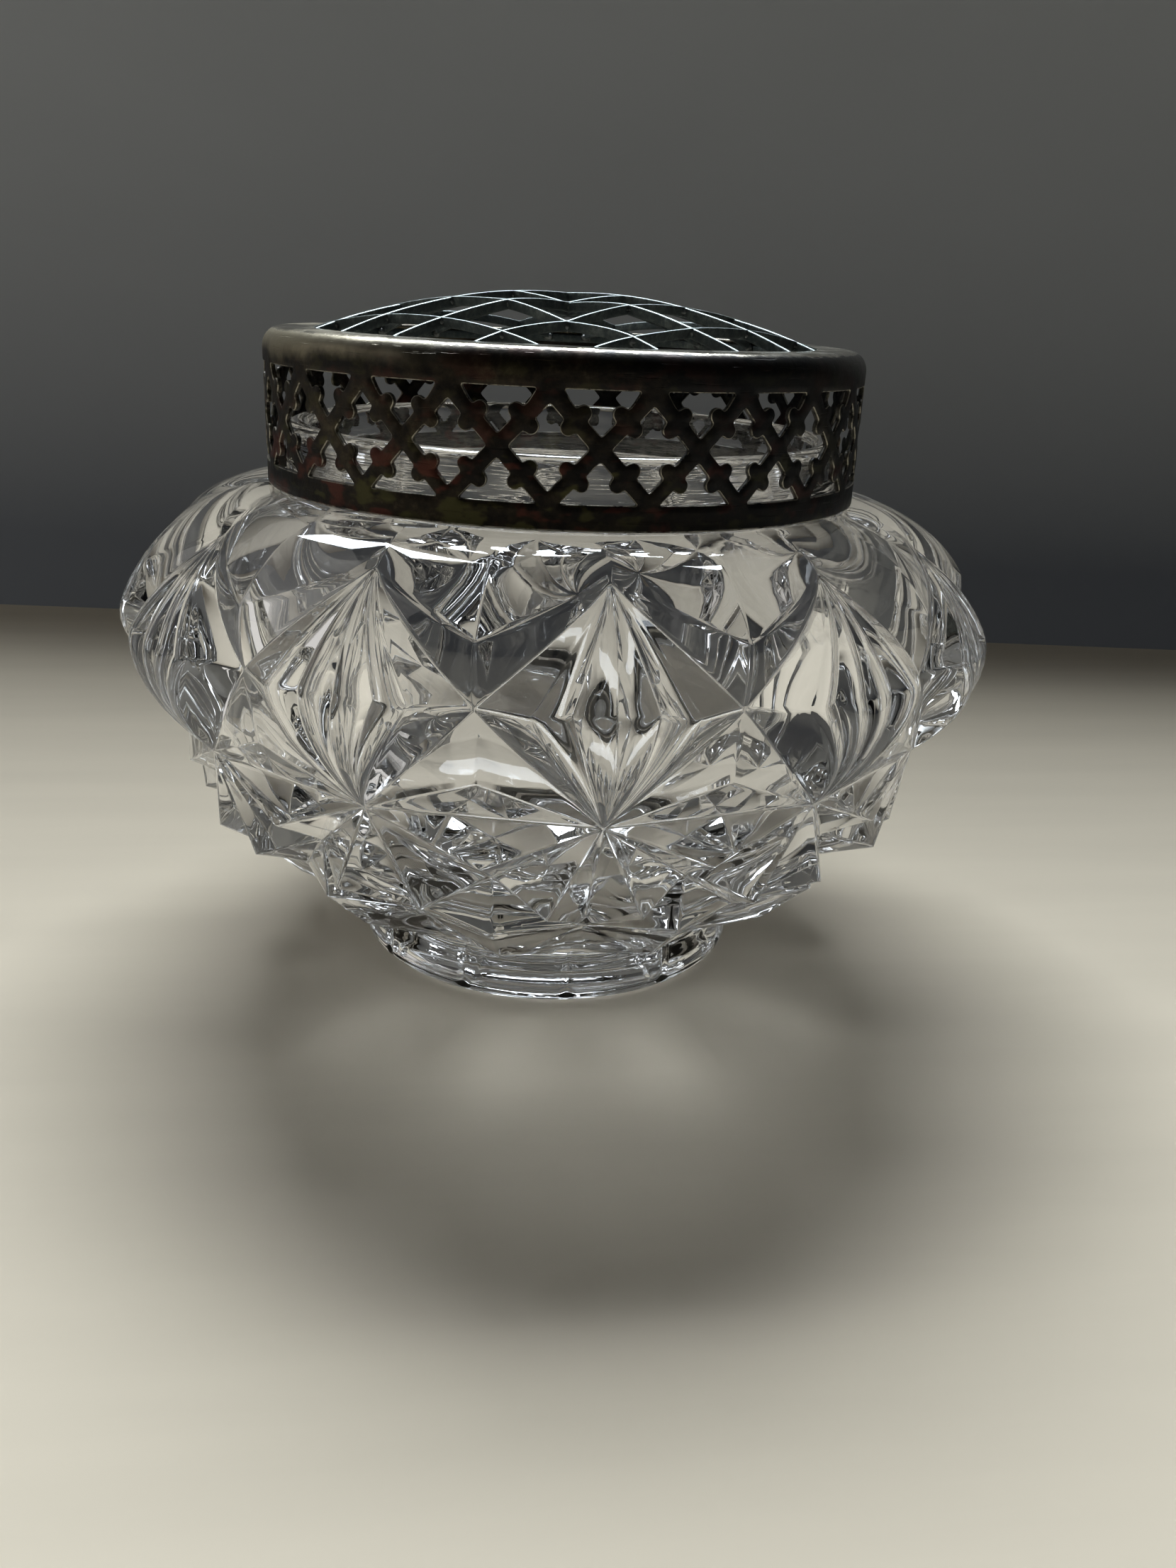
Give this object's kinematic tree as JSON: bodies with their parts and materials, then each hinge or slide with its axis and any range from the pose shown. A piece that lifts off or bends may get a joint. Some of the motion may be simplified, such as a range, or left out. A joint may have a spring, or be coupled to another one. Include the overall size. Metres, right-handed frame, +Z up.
{
  "type": "glass rose bowl with pierced flower grille",
  "caption": "Footed rose bowl of diamond-cut clear glass with a lift-off pierced plated collar and a domed lattice grille that holds flower stems.",
  "frame": {"origin": "centre of the foot, on the surface that the bowl stands on", "axes": "+Z up along the bowl's axis; -Y through the middle of one cut diamond of the glass; +X to the right of that diamond seen from outside"},
  "size_m": [0.1428, 0.1428, 0.1113],
  "materials": {
    "clear_glass": "polished clear pressed glass",
    "tarnished_silver_plate": "tarnished silver plate, brown-black with a bright worn rim",
    "lattice_metal": "plated strip, bright top edges and dark oxidised sides"
  },
  "bodies": {
    "bowl": {"glass_bowl": "clear_glass"},
    "lid": {"pierced_collar": "tarnished_silver_plate", "grille_edge_ring": "lattice_metal", "strip_a1": "lattice_metal", "strip_a2": "lattice_metal", "strip_a3": "lattice_metal", "strip_a4": "lattice_metal", "strip_a5": "lattice_metal", "strip_a6": "lattice_metal", "strip_b1": "lattice_metal", "strip_b2": "lattice_metal", "strip_b3": "lattice_metal", "strip_b4": "lattice_metal", "strip_b5": "lattice_metal", "strip_b6": "lattice_metal"}
  },
  "joints": [
    {"name": "lid_lift", "type": "slide", "parent": "bowl", "child": "lid", "axis": [0, 0, 1], "range_m": [0, 0.05]}
  ]
}
